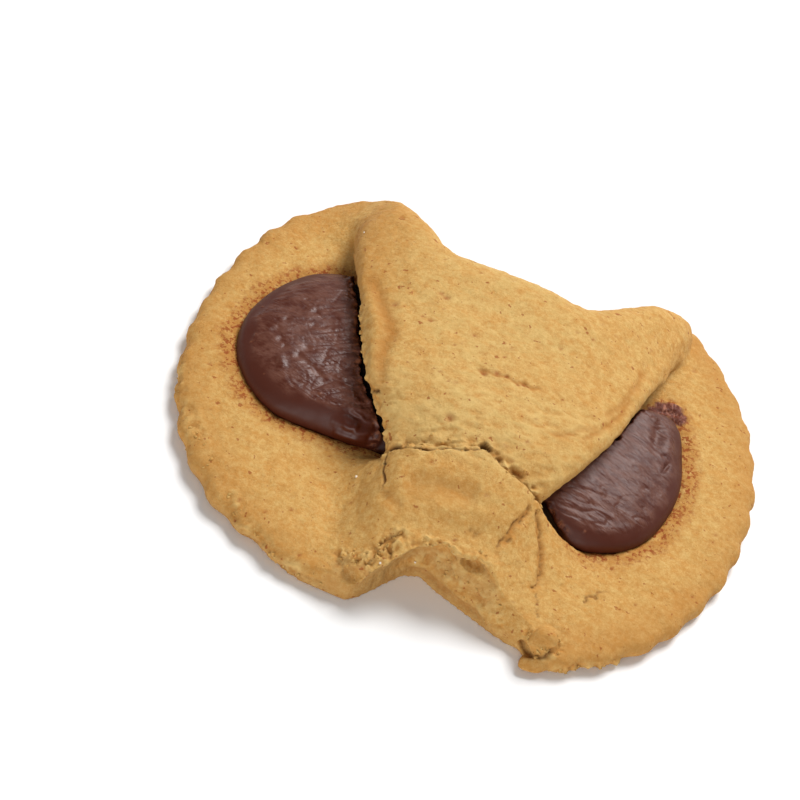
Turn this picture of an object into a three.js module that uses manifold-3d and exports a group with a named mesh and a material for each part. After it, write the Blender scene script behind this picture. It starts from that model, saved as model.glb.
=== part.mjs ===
// A folded biscuit with hazelnut chocolate cream, in millimetres.
//
// A round of dough with a fluted rim lies flat and carries a long pool of cream. Two opposite
// sides of the round are folded over the cream: a wide flap from the far side, and a short
// one from the near side that is pressed down on the wide flap's end. The cream runs right
// through and shows at both open ends.
//
// +X runs through the two open ends, +Y points to the wide fold and +Z is up. The origin is
// the middle of the round, on the flat underside that the biscuit rests on.
import * as THREE from "three";
import { mergeVertices } from "three/addons/utils/BufferGeometryUtils.js";
import Module from "manifold-3d";

const { clamp, lerp, smoothstep, degToRad } = THREE.MathUtils;

// Driving dimensions: the dough
const roundRadius = 39.7; // the dough round, to the middle of its flutes
const roundUnevenness = 0.7; // how far baking has drawn it out towards its corners
const sheetThickness = 4;
const rimThickness = 3;
const fluteCount = 43;
const fluteDepth = 0.9;
const firstFlute = degToRad(-1);
const wideFlapTop = 15.2; // underside to the top of the wide flap
const wideFoldReach = 19.8; // from the long axis out to the wide fold
const wideFlapEnd = -20.5; // how far over the wide flap reaches
const borderRounding = 2.4; // over this width a flap thins down to its border
const shortFoldReach = 27.9; // from the long axis out to the short fold
const crestStep = 1.5; // the end of the short flap stands this much above the wide one

// Driving dimensions: the torn front of the short fold. Each lump or hollow is a blob with a
// middle, half sizes, and a turn from the long axis.
const knob = { middle: [18.9, -31.8, 3.2], halfSizes: [2.2, 1.7, 1.8], turn: degToRad(30) };
const tongue = { middle: [19, -34, 1], halfSizes: [2.3, 1.4, 1], turn: degToRad(29) };
const gapUnderKnob = { middle: [17, -33.4, 1.9], halfSizes: [1.1, 1.3, 0.8], turn: 0 };
const leftHollow = { middle: [-6, -35.6, 4.5], halfSizes: [1.9, 1.6, 1.6], turn: degToRad(-8) };
const leftNotch = { middle: [2.7, -28.5, 6.7], halfSizes: [2.4, 1.9, 1.2], turn: degToRad(4) };
const rightNotch = { middle: [7.1, -28.3, 6.8], halfSizes: [1.7, 1.9, 1], turn: degToRad(20) };

// Driving dimensions: the cream
const creamMiddle = new THREE.Vector2(-2.1, -1.7);
const creamTop = 10.2; // in the middle, under the flaps
const creamEndTop = 8.4; // where it comes out from under them
const creamSunk = 0.8; // how deep it has settled into the dough
const creamGap = 0.3; // between the cream and the dough

const halfSheet = sheetThickness / 2;

// A smooth line through stations, which are pairs of a place and the value there
function smoothLine(...stations) {
  const places = stations.map(([place]) => place);
  const values = stations.map(([, value]) => value);
  const spline = new THREE.CubicInterpolant(places, values, 1);
  return (place) => spline.evaluate(clamp(place, places[0], places.at(-1)))[0];
}

// Rounds a thickness off over the last part of the way to a border.
function roundedOff(distance, over) {
  const t = clamp(distance / over, 0, 1);
  return Math.sqrt(1 - (1 - t) ** 2);
}

// Moves every point of a geometry, none below the underside, and leaves only what a closed
// solid needs.
function moved(geometry, move) {
  geometry.deleteAttribute("normal");
  geometry.deleteAttribute("uv");
  const at = geometry.getAttribute("position");
  const p = new THREE.Vector3();
  for (let i = 0; i < at.count; i++) {
    move(p.fromBufferAttribute(at, i));
    at.setXYZ(i, p.x, p.y, Math.max(p.z, 0));
  }
  return mergeVertices(geometry, 1e-4);
}

// The folded edges, by the place along the long axis: folding leaves this share of the
// distance from the long axis out to the rim.
const nearShare = smoothLine(
  [-25, 1],
  [-20, 0.97],
  [-13, 0.965],
  [-8, 0.94],
  [-5.4, 0.92],
  [-3.2, 0.84],
  [-0.6, 0.735],
  [1.5, shortFoldReach / roundRadius],
  [4, 0.735],
  [9.5, 0.8],
  [14, 0.87],
  [16.4, 0.9],
  [19.4, 1],
);

function farShare(x) {
  const unfolded = x < 0 ? smoothstep(-x, 9.5, 27) : smoothstep(x, 6.5, 24.5);
  return lerp(wideFoldReach / roundRadius, 1, unfolded);
}

function nearReach(x) {
  return -Math.sqrt(roundRadius ** 2 - x ** 2) * nearShare(x);
}

function farReach(x) {
  return Math.sqrt(roundRadius ** 2 - x ** 2) * farShare(x);
}

// The rim is fluted, with rounded lobes that meet in narrow valleys.
function rimShift(angle) {
  const lobe = Math.abs(Math.sin(((angle - firstFlute) * fluteCount) / 2));
  return fluteDepth * (lobe - 0.65) - roundUnevenness * Math.cos(4 * angle);
}

// The lowest layer: the round itself, drawn in where its sides are folded up
function roundOfDough() {
  const r = roundRadius;
  const t = sheetThickness;
  const profile = [
    [0, 0],
    [r * 0.5, 0],
    [r - 0.9, 0],
    [r - 0.15, 0.8],
    [r, 1.7],
    [r - 0.3, 2.4],
    [r - 1.1, rimThickness],
    [r - 3.2, t - 0.5],
    [r - 8, t],
    [r * 0.45, t],
    [0, t],
  ].map(([radius, z]) => new THREE.Vector2(radius, z));
  const columnsInFlute = 4;
  const geometry = new THREE.LatheGeometry(profile, fluteCount * columnsInFlute);
  geometry.rotateX(Math.PI / 2);
  const fluteLength = 6;
  const insideFlap = 0.86; // the flap's own strip makes the far edge, so the round keeps inside
  return moved(geometry, (p) => {
    const radius = Math.hypot(p.x, p.y);
    if (radius > 0) {
      const atRim = smoothstep(radius, r - fluteLength, r);
      const shifted = 1 + (rimShift(Math.atan2(p.y, p.x)) * atRim) / radius;
      p.x *= shifted;
      p.y *= shifted;
    }
    if (p.y < 0) {
      p.y *= nearShare(p.x);
    } else {
      const share = farShare(p.x);
      p.y *= share * lerp(insideFlap, 1, smoothstep(share, 0.55, 0.95));
    }
    // The corner where the rim turns up into the wide flap
    const corner = Math.exp(-((p.x + 23.5) ** 2 + (p.y - 26) ** 2) / 22);
    p.z *= 1 + 0.9 * corner;
  });
}

// The wide flap: a strip that lies inside the round, turns up over the far fold and comes back
// over the cream. across runs from -1 at its left border to 1 at its right one, and along from
// 0 inside the round to 1 at the flap's end.
const crown = wideFlapTop - halfSheet;
const turnRadius = (crown - halfSheet) / 2;
const turnLength = Math.PI * turnRadius;
const turnMiddle = wideFoldReach - halfSheet - turnRadius;
const footLength = 8;
const wideFlapLength = footLength + turnLength + turnMiddle - wideFlapEnd;
const flareLength = 26; // over this length the flap narrows from the fold's corners
const endDrop = 0.2; // the share of its height that the flap loses under the short one

// The borders' places along the long axis, by the distance over the biscuit
const leftBorder = smoothLine(
  [-21, -7.4],
  [-15, -9.8],
  [-10, -14],
  [0, -20.2],
  [6, -23.8],
  [13, -25.6],
  [20, -24.6],
);
const rightBorder = smoothLine(
  [-21, 9],
  [-15, 12],
  [-10, 15],
  [-5, 17.7],
  [0, 19.8],
  [6, 21.6],
  [13, 22.8],
);

// The share of its height that the flap loses towards each border: it arches over the cream,
// and meets the round at the corners of the fold.
const leftDrop = smoothLine([-21, 0.3], [-10, 0.23], [0, 0.27], [8, 0.58], [13, 0.8], [20, 0.84]);
const rightDrop = smoothLine([-21, 0.3], [-10, 0.23], [0, 0.32], [7, 0.66], [13, 0.84], [20, 0.88]);

function wideFlapMiddle(across, along) {
  const distance = along * wideFlapLength - footLength;
  const turn = clamp(distance / turnRadius, 0, Math.PI);
  const straight = distance < 0 ? distance : Math.min(turnLength - distance, 0);
  const y = turnMiddle + turnRadius * Math.sin(turn) + straight;
  const z = turnRadius * (1 - Math.cos(turn));
  const x = lerp(leftBorder(y), rightBorder(y), (across + 1) / 2);
  const flare = 1 - smoothstep(distance, turnLength, turnLength + flareLength);
  const borderDrop = across < 0 ? leftDrop(y) : rightDrop(y);
  const arch = borderDrop * Math.abs(across) ** lerp(2.4, 3.2, smoothstep(y, 0, 12));
  const drop = arch + endDrop * smoothstep(-y, 8, 19);
  const spread = (farReach(x) - wideFoldReach) * flare;
  return new THREE.Vector3(x, y + spread, halfSheet + z * (1 - drop));
}

function wideFlapThickness(across, along) {
  const halfWidth = 18;
  const leastBorder = 0.06; // keeps a little thickness at the very border
  const fromEnd = (1 - along) * wideFlapLength;
  const towardsEnd = lerp(0.6, 1, smoothstep(fromEnd, 0, 9)) * roundedOff(fromEnd + 0.15, 1.2);
  const fromBorder = (1 - Math.abs(across)) * halfWidth + leastBorder;
  return sheetThickness * towardsEnd * roundedOff(fromBorder, borderRounding);
}

function wideFlap() {
  const columns = 26;
  const rows = 40;
  const geometry = new THREE.BoxGeometry(2, 1, 2, columns, rows, 2);
  const step = 1e-3;
  const acrossWay = new THREE.Vector3();
  const alongWay = new THREE.Vector3();
  return moved(geometry, (p) => {
    // The columns lie closer together towards the rounded borders.
    const across = lerp(p.x, Math.sin((p.x * Math.PI) / 2), 0.7);
    const along = p.y + 0.5;
    const offset = (p.z * wideFlapThickness(across, along)) / 2;
    acrossWay.copy(wideFlapMiddle(across + step, along));
    acrossWay.sub(wideFlapMiddle(across - step, along));
    alongWay.copy(wideFlapMiddle(across, along + step));
    alongWay.sub(wideFlapMiddle(across, along - step));
    const outward = acrossWay.cross(alongWay).normalize();
    p.copy(wideFlapMiddle(across, along)).addScaledVector(outward, offset);
  });
}

// The short fold: dough folded up from the near edge. Its surface falls from a crest, where it
// is pressed over the wide flap's end, to a lip that hangs over its hollow front. All of these
// go by the place along the long axis.
const foldLeft = -15;
const foldRight = 21;
const foldBack = -14.6;
const crestPlace = smoothLine(
  [-9, -19.1],
  [-5, -18.2],
  [0, -16.7],
  [3, -15.5],
  [6, -16.8],
  [10, -17.2],
  [13, -16.9],
);
const crestHeight = smoothLine(
  [foldLeft, 3.6],
  [-11, 5.4],
  [-8.5, 9],
  [-6.5, 12],
  [-3, 13.5],
  [2, 14.2],
  [7, 13.6],
  [10.5, 12],
  [12.5, 9.4],
  [16, 6.2],
  [foldRight, 3.6],
);
const lipHeight = smoothLine(
  [foldLeft, 2.6],
  [-8, 3.8],
  [-4, 5.8],
  [-1, 7.8],
  [2, 8.6],
  [7, 8.5],
  [10.5, 7],
  [14, 4.8],
  [foldRight, 2.8],
);
const lipOverhang = smoothLine(
  [foldLeft, -0.8],
  [-6, 0.2],
  [-3, 1.8],
  [0, 2.1],
  [2.4, 1.1],
  [5.4, -0.2],
  [7.5, -1.6],
  [10.6, -1.2],
  [14, -1.6],
  [foldRight, -1],
);
const hollowDepth = 0.9;

function shortFold() {
  const columns = 32;
  const rowsToCrest = 9;
  const rowsBehind = 2;
  const rows = rowsToCrest + rowsBehind;
  const geometry = new THREE.BoxGeometry(1, 1, 1, columns, rows, 6);
  const insideRound = 0.3; // keeps the foot of the fold just inside the round's edge
  return moved(geometry, (p) => {
    const x = lerp(foldLeft, foldRight, p.x + 0.5);
    const row = (p.y + 0.5) * rows;
    const upward = p.z + 0.5;
    const crest = crestPlace(x);
    if (row > rowsToCrest + 0.5) {
      // Behind the crest it dips into the wide flap and runs out on the round.
      const behind = (row - rowsToCrest) / rowsBehind;
      const dip = 2 * crestStep * smoothstep(crestHeight(x), 8, 12);
      const top = lerp(crestHeight(x) - dip, sheetThickness - insideRound, behind);
      p.set(x, lerp(crest, foldBack, behind), upward * top);
      return;
    }
    const inward = row / rowsToCrest;
    const hollow = hollowDepth * Math.sin(Math.PI * upward) ** 2 * smoothstep(lipHeight(x), 4, 8);
    const overhang = lipOverhang(x) * smoothstep(upward, 0.5, 1);
    const front = nearReach(x) + insideRound + hollow - overhang;
    const fall = lerp(1 - inward, smoothstep(1 - inward, 0, 1), 0.6);
    const top = lerp(crestHeight(x), lipHeight(x), fall);
    p.set(x, lerp(front, crest, inward), upward * top);
  });
}

// A lump or hollow of torn dough: a ball drawn out to its half sizes, and not quite even
function blob({ middle, halfSizes, turn }) {
  const geometry = moved(new THREE.SphereGeometry(1, 14, 8), (p) => {
    p.multiplyScalar(1 + 0.12 * Math.sin(3 * p.x + 5 * p.y) * Math.cos(4 * p.z));
    p.multiply(new THREE.Vector3(...halfSizes)).applyAxisAngle(new THREE.Vector3(0, 0, 1), turn);
    p.add(new THREE.Vector3(...middle));
  });
  return solidOf(geometry);
}

// The pool of cream spreads out at both open ends and is squeezed to one width between the
// folds. It can be grown on all sides by a clearance, where the dough is cut to take it.
const creamOutline = new THREE.CatmullRomCurve3(
  [
    [28.5, -1],
    [27.4, 6.5],
    [25, 12],
    [19.5, 9],
    [9, 11],
    [-9, 11.3],
    [-24, 12.8],
    [-29.6, 7.8],
    [-32.5, -1.5],
    [-30.5, -9.2],
    [-24.5, -14.2],
    [-15.8, -14.2],
    [-8, -13.6],
    [10, -13.8],
    [19, -15.4],
    [25.6, -11.2],
  ].map(([x, y]) => new THREE.Vector3(x, y, 0)),
  true,
);

function creamPool(clearance) {
  const columns = 80;
  const rings = 9;
  const bottom = -1; // stands for the underside while the shape is still one of unit size
  const profile = [0, 0.5, 0.97].map((share) => new THREE.Vector2(share, bottom));
  for (let ring = 0; ring <= rings; ring++) {
    const turn = (ring / rings) * (Math.PI / 2);
    profile.push(new THREE.Vector2(Math.cos(turn), Math.sin(turn)));
  }
  const geometry = new THREE.LatheGeometry(profile, columns);
  geometry.rotateX(Math.PI / 2);
  return moved(geometry, (p) => {
    const share = Math.hypot(p.x, p.y);
    const place = (Math.atan2(p.y, p.x) / (2 * Math.PI) + 1) % 1;
    const edge = creamOutline.getPointAt(place);
    const way = creamOutline.getTangentAt(place);
    edge.x += way.y * clearance;
    edge.y -= way.x * clearance;
    const dome = Math.sqrt(Math.max(1 - share ** 3.2, 0)) * (creamEndTop - sheetThickness);
    const heap = (creamTop - creamEndTop) * (1 - smoothstep(share, 0, 0.62));
    const top = p.z > 0 ? sheetThickness + dome + heap + clearance : sheetThickness;
    p.x = lerp(creamMiddle.x, edge.x, share);
    p.y = lerp(creamMiddle.y, edge.y, share);
    p.z = p.z < bottom / 2 ? sheetThickness - creamSunk - clearance : top;
  });
}

// Closed solids, to join and cut
const manifold = await Module();
manifold.setup();

function solidOf(geometry) {
  const mesh = new manifold.Mesh({
    numProp: 3,
    vertProperties: new Float32Array(geometry.getAttribute("position").array),
    triVerts: new Uint32Array(geometry.getIndex().array),
  });
  return new manifold.Manifold(mesh);
}

function geometryOf(solid) {
  const mesh = solid.getMesh();
  const geometry = new THREE.BufferGeometry();
  geometry.setAttribute("position", new THREE.BufferAttribute(mesh.vertProperties, 3));
  geometry.setIndex(new THREE.BufferAttribute(mesh.triVerts, 1));
  geometry.computeVertexNormals();
  return geometry;
}

const bakedDough = new THREE.MeshStandardMaterial({
  color: 0xd09c55,
  roughness: 0.85,
  metalness: 0,
});
const chocolateCream = new THREE.MeshStandardMaterial({
  color: 0x3d1a12,
  roughness: 0.4,
  metalness: 0,
});

function named(name, geometry, material) {
  const mesh = new THREE.Mesh(geometry, material);
  mesh.name = name;
  return mesh;
}

const folded = solidOf(roundOfDough()).add(solidOf(wideFlap())).add(solidOf(shortFold()));
const torn = [gapUnderKnob, leftHollow, leftNotch, rightNotch].reduce(
  (dough, hollow) => dough.subtract(blob(hollow)),
  folded.add(blob(tongue)).add(blob(knob)),
);
const dough = torn.subtract(solidOf(creamPool(creamGap)));

const group = new THREE.Group();
group.add(named("biscuit_dough", geometryOf(dough), bakedDough));
group.add(named("hazelnut_cream", creamPool(0), chocolateCream));

export default group;
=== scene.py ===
# %% [markdown]
# # A folded biscuit with hazelnut chocolate cream
# A round of shortcrust dough carries a pool of chocolate cream. A wide flap is folded over it
# from the far side, and a short one from the near side is pressed down on the wide flap's end.
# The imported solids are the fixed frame. They have the right form and size, but they are faceted
# and bare. This script makes the baked surface and the creamy one out of them.

# %% Load the frame
import math
import random

import bmesh
import bpy
import numpy as np
from mathutils import Matrix, Vector, noise
from mathutils.bvhtree import BVHTree


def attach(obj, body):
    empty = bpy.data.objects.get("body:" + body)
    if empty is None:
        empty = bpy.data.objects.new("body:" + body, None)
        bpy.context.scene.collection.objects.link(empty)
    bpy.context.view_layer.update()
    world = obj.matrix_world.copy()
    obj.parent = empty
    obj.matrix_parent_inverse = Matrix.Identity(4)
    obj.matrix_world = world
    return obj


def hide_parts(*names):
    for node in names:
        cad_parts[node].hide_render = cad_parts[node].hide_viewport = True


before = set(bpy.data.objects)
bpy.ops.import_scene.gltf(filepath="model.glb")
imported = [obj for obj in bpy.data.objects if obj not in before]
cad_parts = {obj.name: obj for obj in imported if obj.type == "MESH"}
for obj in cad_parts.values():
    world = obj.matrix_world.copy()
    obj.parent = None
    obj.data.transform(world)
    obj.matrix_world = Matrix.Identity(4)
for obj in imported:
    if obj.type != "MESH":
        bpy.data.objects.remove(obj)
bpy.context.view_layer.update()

MM = 0.001
# The noise would start from the clock, so this number keeps every run's cracks the same
noise.seed_set(11)

# %% [markdown]
# ## From a solid to a surface that can be sculpted
# A sculptor needs clay with an even grain. The solid has long triangles beside short ones, so a
# copy of it is remeshed to small even squares, and then smoothed until the facets are gone. A
# subdivision surface could round the facets too, but it would follow the uneven triangles and
# leave too few points for cracks. The copy's loose triangles are merged first.


# %% A fine even mesh from a solid
def fine_copy(node, name, voxel, smoothing):
    """A copy of a solid in even squares of the voxel's size, in mm, without its facets."""
    bm = bmesh.new()
    bm.from_mesh(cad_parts[node].data)
    bmesh.ops.remove_doubles(bm, verts=bm.verts, dist=0.01 * MM)
    mesh = bpy.data.meshes.new(name)
    bm.to_mesh(mesh)
    bm.free()
    piece = bpy.data.objects.new(name, mesh)
    bpy.context.scene.collection.objects.link(piece)
    remesh = piece.modifiers.new("even squares", "REMESH")
    remesh.mode = "VOXEL"
    remesh.voxel_size = voxel * MM
    remesh.use_smooth_shade = True
    smooth = piece.modifiers.new("no facets", "SMOOTH")
    smooth.factor = 0.5
    smooth.iterations = smoothing
    apply_modifiers(piece)
    print(name, "has", len(piece.data.polygons), "squares")
    return piece


def apply_modifiers(piece):
    seen = piece.evaluated_get(bpy.context.evaluated_depsgraph_get())
    mesh = bpy.data.meshes.new_from_object(seen)
    piece.modifiers.clear()
    piece.data = mesh


dough = fine_copy("biscuit_dough", "golden_dough", voxel=0.36, smoothing=4)

# %% [markdown]
# ## Points as arrays
# Sculpting here means moving points by a rule. A rule for a hundred thousand points is quick
# when all of them lie in one array. The arrays are in millimetres, like a ruler on the table.


# %% Read and write a piece's points
def points_of(piece):
    points = np.empty(len(piece.data.vertices) * 3)
    piece.data.vertices.foreach_get("co", points)
    return points.reshape(-1, 3) / MM


def outward_of(piece):
    outward = np.empty(len(piece.data.vertices) * 3)
    piece.data.vertex_normals.foreach_get("vector", outward)
    return outward.reshape(-1, 3)


def set_points(piece, points):
    piece.data.vertices.foreach_set("co", (points * MM).ravel())
    piece.data.update()


def surface_of(piece):
    """The piece's surface, ready to be asked for its nearest point. It answers in metres."""
    return BVHTree.FromObject(piece, bpy.context.evaluated_depsgraph_get())


def rise(value, low, high):
    """0 below low, 1 above high, and a soft rise between them."""
    t = np.clip((value - low) / (high - low), 0, 1)
    return t * t * (3 - 2 * t)


def bumps(points, size, seed):
    """A soft random value between about -1 and 1. One bump is about size mm wide."""
    return np.array([noise.noise(p) for p in (points / size + seed).tolist()])


def shakes(points, size):
    """A soft random push for each point, about as long as 1. It changes over size mm."""
    return np.array([noise.noise_vector(p) for p in (points / size).tolist()])


def turned(points, turn, length, width, height=None):
    """Places along and across a turned axis, so that random bumps come out long and narrow."""
    along = points[:, 0] * math.cos(turn) + points[:, 1] * math.sin(turn)
    across = points[:, 1] * math.cos(turn) - points[:, 0] * math.sin(turn)
    return np.stack([along / length, across / width, points[:, 2] / (height or length)], axis=1)


def nearest_on(surface, place):
    return np.array(surface.find_nearest(Vector(place) * MM)[0]) / MM


def highest_on(surface, x, y):
    """The surface's highest place at x and y, or None beside the piece."""
    clear_above = Vector((x, y, 20)) * MM
    place = surface.ray_cast(clear_above, Vector((0, 0, -1)))[0]
    return None if place is None else np.array(place) / MM


# %% [markdown]
# ## Lines on the surface
# Seams, cracks and wrinkles all follow a line. Each line is named here by the places it passes,
# measured from the picture in mm, and is laid on the surface. Real cracks are ragged, so the
# line is also shaken a little from side to side.

# %% Lines laid on a surface
LINE_STEP = 0.12


def line_on(surface, stations, ragged=0.0, seed=0.0):
    """Points along a line through the stations, each moved to the surface's nearest point."""
    corners = [Vector(station) for station in stations]
    line = []
    for start, end in zip(corners, corners[1:]):
        count = max(1, round((end - start).length / LINE_STEP))
        for i in range(count):
            place = start.lerp(end, i / count)
            shake = noise.noise_vector(place / 1.1 + Vector((seed, 0, 0))) * ragged
            shake.z *= 0.3
            nearest = surface.find_nearest((place + shake) * MM)[0]
            line.append(nearest / MM)
    return np.array(line)


def near_line(points, line, reach):
    """The points within reach of a line: their numbers, distances, and places from 0 to 1."""
    low = line.min(axis=0) - reach
    high = line.max(axis=0) + reach
    inside = np.where(((points > low) & (points < high)).all(axis=1))[0]
    gaps = np.linalg.norm(points[inside, None] - line[None], axis=2)
    distance = gaps.min(axis=1)
    place = gaps.argmin(axis=1) / len(line)
    close = distance < reach
    return inside[close], distance[close], place[close]


# %% The lines of this biscuit
# Where the short flap's end lies on the wide flap
SEAM = [(-8.6, -18.8, 9.3), (-7, -18.3, 10.9), (-5, -17.8, 11.9), (-3, -17.3, 12.4),
        (-1, -16.7, 12.8), (1, -16, 13.1), (3, -15.2, 13.4), (5, -16, 12.9), (7, -16.6, 12.2),
        (9, -16.8, 11.5), (10.5, -16.7, 10.8), (11.8, -16.6, 9.8)]
# The gap that shows along the seam's left half, and the hole at its end
SEAM_GAP = [(-8.4, -18.4, 9.6), (-7.8, -18, 10.3), (-7, -18, 11.2), (-5.9, -18.8, 12.3),
            (-4.6, -18.6, 13), (-3.1, -17.8, 13.5), (-1.5, -17.4, 13.8)]
SEAM_THIN = [(-1.9, -17.5, 13.7), (-0.6, -17.2, 13.9), (0.8, -16.8, 14), (2.3, -15.9, 14.2)]
SEAM_HOLE = [(2.2, -15.2, 13.8), (2.8, -14.8, 13.6), (3.5, -15.2, 13.6)]
SEAM_HOLE_MIDDLE = (2.7, -15, 13.8)
# The short flap's side borders
LEFT_CRACK = [(-8.6, -18.8, 9.3), (-7.9, -20.5, 9.4), (-7.2, -22.7, 9.3), (-6.8, -25, 8.9)]
RIGHT_CREASE = [(11.3, -18.8, 10.8), (10.8, -20.8, 10.6), (10.2, -22.2, 10.2), (9.9, -24.1, 9.5),
                (9.6, -25.1, 9), (9, -26, 8.7)]
RIGHT_BORDER = [(12.2, -17.8, 9.9), (13.4, -19.6, 8), (14.5, -21.3, 6.6), (15.2, -23, 5.7),
                (15.6, -25, 5), (15.3, -26.2, 5), (14.5, -26.7, 5.2)]
BORDER_TAIL = [(15.9, -26.4, 4.8), (16.7, -28.2, 4.1), (17.4, -29.6, 3.8)]
# The short fold's front: its lip, the notches under it, the layers at its foot
RED_CRACK = [(-3.2, -31.4, 7.4), (-2.8, -32.2, 7.2), (-2.7, -33.2, 6.8)]
LIP = [(-9, -33, 4.3), (-7.3, -33.2, 4.8), (-5.7, -33.4, 5.6), (-4.4, -32.6, 6.5),
       (-3.2, -31.4, 7.3), (-1.4, -30, 8), (0.4, -29.2, 8.4), (3, -28.9, 8.8), (5.2, -28.9, 8.6),
       (7, -28.3, 8.7), (8.4, -27.6, 8), (9.4, -26.6, 7.4)]
FRINGE = [(-5.4, -33.8, 5.7), (-4.8, -32.6, 6.5), (-4, -31.2, 7.3), (-3.1, -30.2, 7.9),
          (-2.6, -29.4, 8.3)]
HOLLOW_RIM = [(-8.4, -33.8, 4.2), (-7.2, -33.9, 4.6), (-6.1, -33.8, 5.2), (-5, -34, 5.7)]
UNDER_LIP_LEFT = [(0.6, -28.1, 6.4), (1.5, -28.6, 7.3), (2.6, -28.7, 7.8), (3.8, -28.7, 8),
                  (4.8, -28.6, 8)]
UNDER_LIP_RIGHT = [(5.4, -28.7, 7.7), (6.3, -28.4, 7.9), (7.3, -28, 7.8), (8.2, -28, 7.3)]
FOOT_LAYER = [(-1.5, -27.9, 1.5), (0.5, -27.2, 1.2), (4, -28, 1.1), (8, -29.6, 1.1),
              (12, -31.6, 1.2)]
FRINGE_CRACK = [(-4.7, -31.6, 6.9), (-3.7, -30.4, 7.7), (-3.1, -29.7, 8.1), (-2.3, -29, 8.5)]
FRINGE_CRACK_NEAR = [(-4.6, -34, 5.9), (-4.7, -33.2, 6.3), (-4.5, -32.2, 6.7)]
WALL_FOLD_LEFT = [(2.7, -27.4, 6.2), (3.3, -27.7, 5.3), (4.2, -28, 4.7), (4.9, -28.3, 3.8)]
WALL_FOLD_RIGHT = [(8, -28.5, 7.8), (9.2, -29, 7.3), (10.2, -29.5, 6.7), (11, -29.9, 6.1)]
FRONT_WALL = [(1, -27.4, 4), (5, -28.3, 4.2), (9, -29.6, 3.8), (13, -31.2, 3)]
FRONT_HOLLOW = (-7.4, -34.5, 3.8)
# The torn knob beside the fold, and the crack in the round's lobe behind it
KNOB_GAP = [(16.3, -32, 1.9), (17.2, -33.2, 1.7), (18.2, -34.1, 2.1), (19.2, -34.1, 2.4),
            (20.1, -33.5, 2.7), (20.8, -32.6, 3.1)]
KNOB_RIM = [(16.8, -31.7, 3.3), (17.6, -33, 3), (19, -33.6, 2.8), (20.6, -32.8, 3.2),
            (20.9, -31.2, 3.6)]
KNOB_TOP = (18.5, -31.7, 5)
KNOB_SIDE = (19.9, -32.4, 4.6)
LOBE_CRACK = [(21.6, -23.8, 4), (22.5, -22.5, 4), (23.4, -22, 4), (24.5, -21, 4)]
# A broad valley, a ridge and small dents on the short fold
SHORT_FOLD_VALLEY = [(-5.5, -23.3, 10.9), (-3.5, -23.4, 11.3), (-1.2, -23, 11.5), (1.4, -22.3, 11.6),
                     (4.8, -21.8, 11.8)]
SHORT_FOLD_RIDGE = [(-1, -25, 10.5), (2.3, -24.3, 10.5), (4.9, -24, 10.8), (7.5, -23.2, 10.6)]
CRACK_END = [(-7, -24.2, 9.2), (-6.5, -25.2, 9.4), (-5.3, -26.1, 9.6), (-3.8, -26.5, 9.6)]
FOLD_DENTS = [(5.2, -25.7, 9.9), (6.1, -25.6, 9.7), (5.9, -26.2, 9.5)]
# The round's rim, where it crumbles at the near side and at the left
RIM_RADIUS = 38.4
CRUMBLY_RIM = [(RIM_RADIUS * math.cos(math.radians(a)), RIM_RADIUS * math.sin(math.radians(a)), 1.6)
               for a in range(198, 262, 8)]
CRUMBLY_FOOT = [(21.2, -33.6, 1), (23.6, -32.2, 1), (25.8, -30.6, 1), (28.4, -28.2, 1)]
# The wide flap's borders over the cream
TORN_BORDER = [(-20.6, 0.9, 9.9), (-19, -2, 10.3), (-17.2, -5, 10.5), (-15.6, -7.5, 10.6),
               (-14, -10, 10.6), (-12, -12.4, 10), (-9.8, -15, 9.2), (-8.4, -18, 8.8)]
RIGHT_FLAP_EDGE = [(12.4, -12.6, 9.8), (14.4, -8.6, 10), (16.4, -4, 10), (18.2, 0.5, 9.8),
                   (19.6, 5, 9.4)]
TORN_HOOK = [(-13.6, -10.6, 10.2), (-12.6, -11.2, 11.2), (-11.7, -11.5, 11.8)]
# Folds and wrinkles in the wide flap
LEFT_VALLEY = [(-25.4, 19.5, 6.5), (-24.4, 16.5, 7.6), (-23.2, 13, 8.4)]
LEFT_RIDGE = [(-21, 9.5, 11.2), (-19.3, 6.2, 12.5), (-17.4, 3, 13.2), (-14.8, -1.6, 13.8),
              (-14.1, -6, 13.5), (-13, -10, 13.1), (-10.9, -13.4, 12.4)]
ARC_NEAR = [(9.5, -9, 14.3), (11.8, -7.6, 14.1), (13.7, -5.3, 13.7), (15.4, -3, 13.4)]
ARC_FAR = [(13.1, -7.8, 13.7), (15.6, -3.9, 13.3), (17.4, 1.2, 12.7), (18.4, 6.5, 12)]
ARC_LONG = [(15.2, -2, 13.4), (16.9, 2.4, 13), (18, 7.5, 12.3), (18.4, 13.5, 10.6)]
SPECK_ROW = [(-2.4, -4.4, 15.2), (0.5, -3.3, 15.2), (2.5, -3.2, 15.2), (4.8, -2.9, 15.1),
             (7.6, -2.5, 14.8)]
# Where cream was smeared on the round beside the right opening
SMEAR = [(21.9, 12.8, 4), (22.8, 14.9, 4), (24.2, 15.4, 4), (25.2, 14.1, 4)]

# %% [markdown]
# ## More points where the fine cracks run
# Even squares of a third of a millimetre are fine enough for the soft forms, but not for a crack
# of half a millimetre. Making all squares smaller would spend most of them on the plain
# underside, so only those near a crack are cut in four, and the flat underside becomes one face.

# %% Finer squares near the cracks
FINE_LINES = [SEAM, SEAM_GAP, LEFT_CRACK, RIGHT_CREASE, RIGHT_BORDER, RED_CRACK, LIP, FRINGE,
              HOLLOW_RIM, TORN_BORDER, KNOB_RIM, KNOB_GAP, LOBE_CRACK, SPECK_ROW, SMEAR]
FINE_REACH = 0.8


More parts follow.
